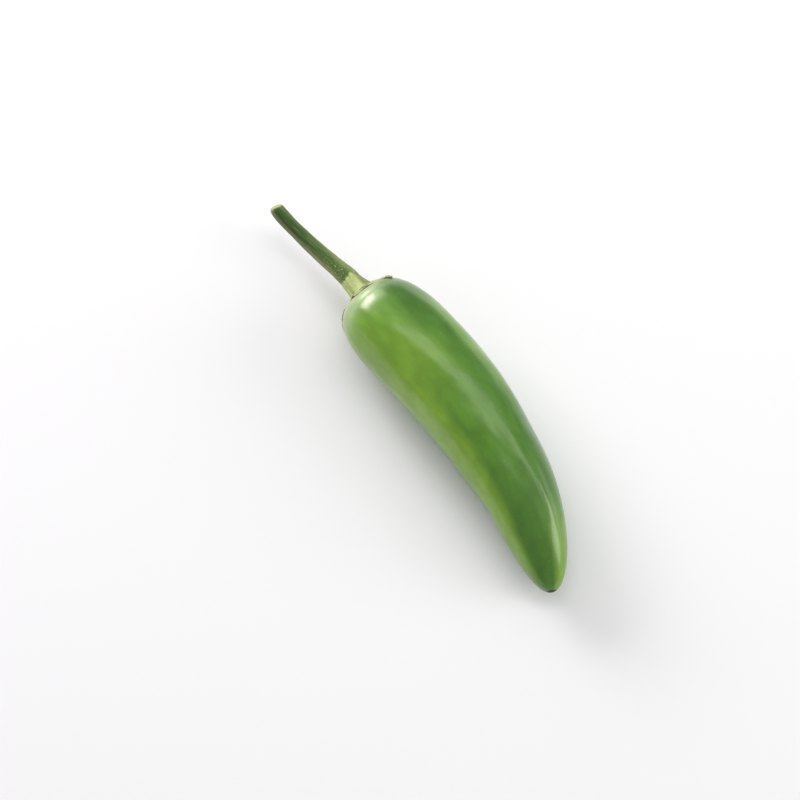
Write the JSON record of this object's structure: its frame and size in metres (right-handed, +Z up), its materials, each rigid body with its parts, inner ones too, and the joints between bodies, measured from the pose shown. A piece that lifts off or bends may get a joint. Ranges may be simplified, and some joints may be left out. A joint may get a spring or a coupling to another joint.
{
  "type": "green chilli pepper",
  "caption": "Green chilli pepper, as picked: a bent, tapering waxy pod with its calyx and stem, lying on its side.",
  "frame": {"origin": "on the table, under the middle of the chilli's box", "axes": "+X along the pod towards its tip, +Y towards the outer side of its bend, +Z up from the table"},
  "size_m": [0.1072, 0.0246, 0.0206],
  "materials": {
    "skin": "smooth waxy green skin, glossy",
    "calyx": "pale yellow-green, fibrous, satin",
    "stem": "olive-green, ribbed lengthwise, matt"
  },
  "bodies": {
    "root": {"pod": "skin", "calyx": "calyx", "stem": "stem"}
  },
  "joints": []
}
